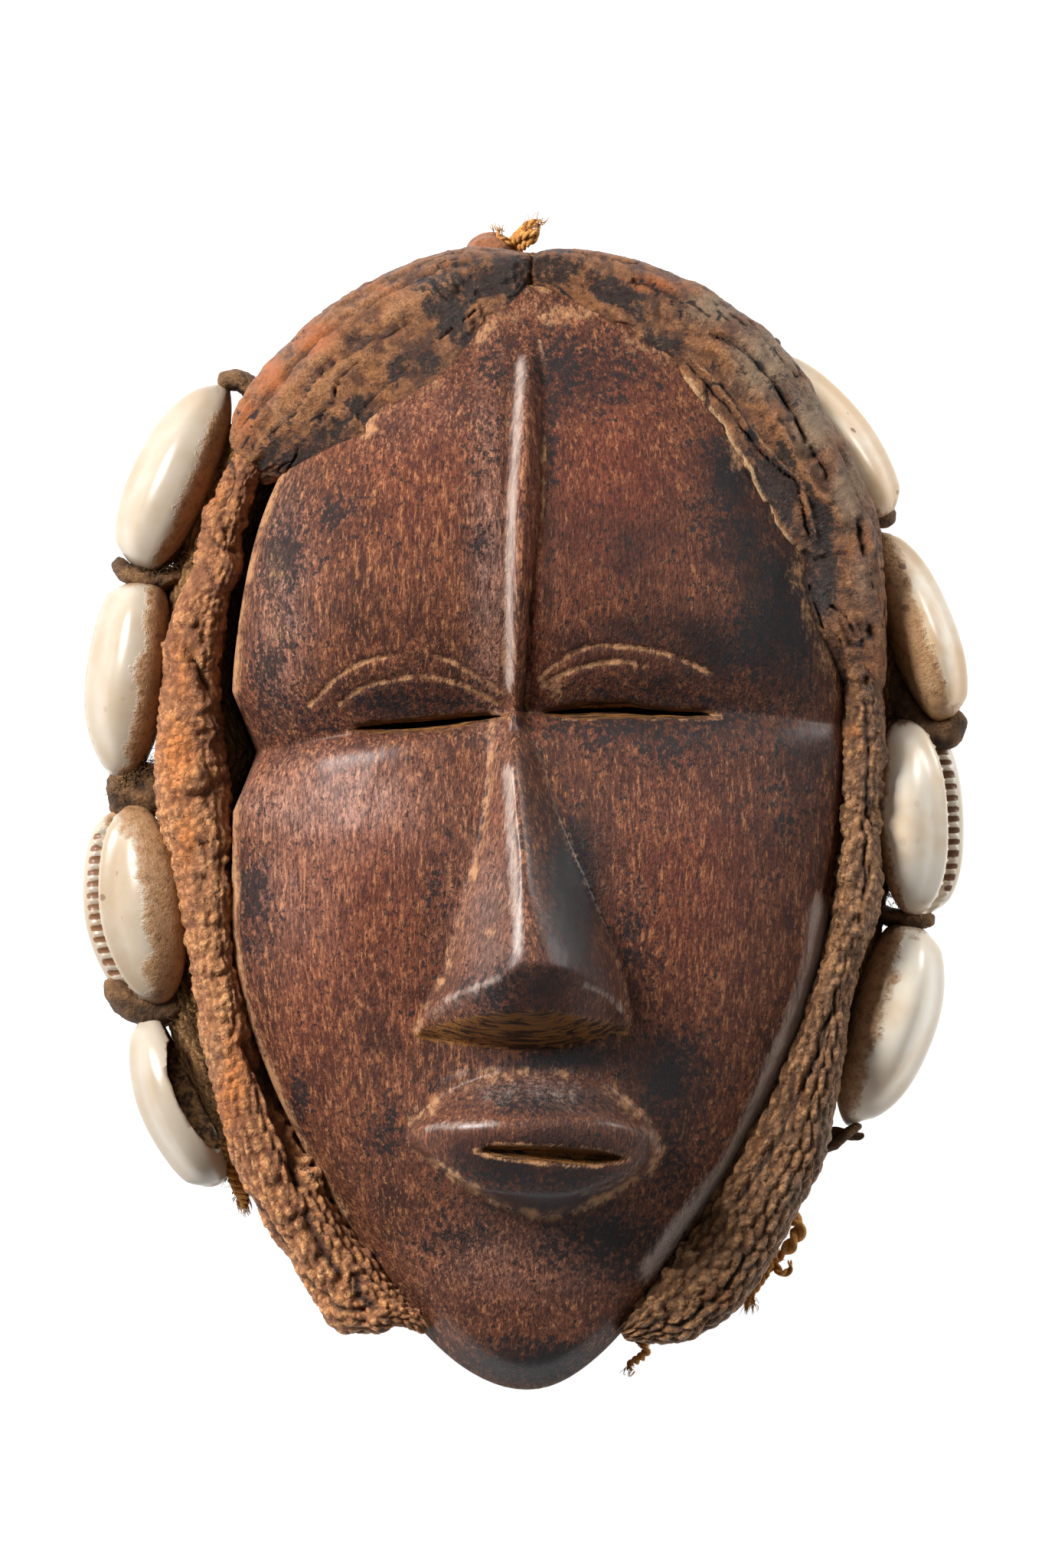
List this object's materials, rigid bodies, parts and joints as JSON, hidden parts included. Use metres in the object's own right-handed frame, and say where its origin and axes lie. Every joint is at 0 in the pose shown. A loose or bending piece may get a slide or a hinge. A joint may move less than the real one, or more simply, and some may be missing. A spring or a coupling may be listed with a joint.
{
  "type": "miniature dan mask",
  "caption": "Miniature carved wooden face mask, hollow behind, with crusted hair rolls, side plaits of looped fibre and cowrie shells tied round its edge.",
  "frame": {"origin": "centre of the part's box in plan, on the plane of the mask's back rim", "axes": "+Z out of the face, +Y towards the crown, +X to the right as one looks at the face"},
  "size_m": [0.0956, 0.1275, 0.0464],
  "materials": {
    "wood": "dark red-brown carved wood, rubbed to a soft shine on the high places, earth in the cuts",
    "hair_crust": "fibre under a hard cracked crust, ochre-brown with black patches",
    "plait": "plaited and looped fibre under a crust, matt",
    "fibre": "looped brown fibre cloth, matt and fuzzy",
    "cowrie": "glossy ivory shell with brown stains",
    "hide": "dark dry hide",
    "yarn": "loose ochre yarn"
  },
  "bodies": {
    "root": {"wooden_face": "wood", "fibre_cap": "fibre", "left_roll": "hair_crust", "right_roll": "hair_crust", "left_plait": "plait", "right_plait": "plait", "cowrie_left_1": "cowrie", "cowrie_left_2": "cowrie", "cowrie_left_3": "cowrie", "cowrie_left_4": "cowrie", "cowrie_right_1": "cowrie", "cowrie_right_2": "cowrie", "cowrie_right_3": "cowrie", "cowrie_right_4": "cowrie", "tie_left_1": "hide", "tie_left_2": "hide", "tie_left_3": "hide", "tie_left_4": "hide", "tie_right_1": "hide", "tie_right_2": "hide", "tie_right_3": "hide", "tie_right_4": "hide", "tie_right_5": "hide", "crown_knot": "fibre", "crown_yarn": "yarn", "left_yarn": "yarn", "right_yarn": "yarn", "chin_yarn": "yarn"}
  },
  "joints": []
}
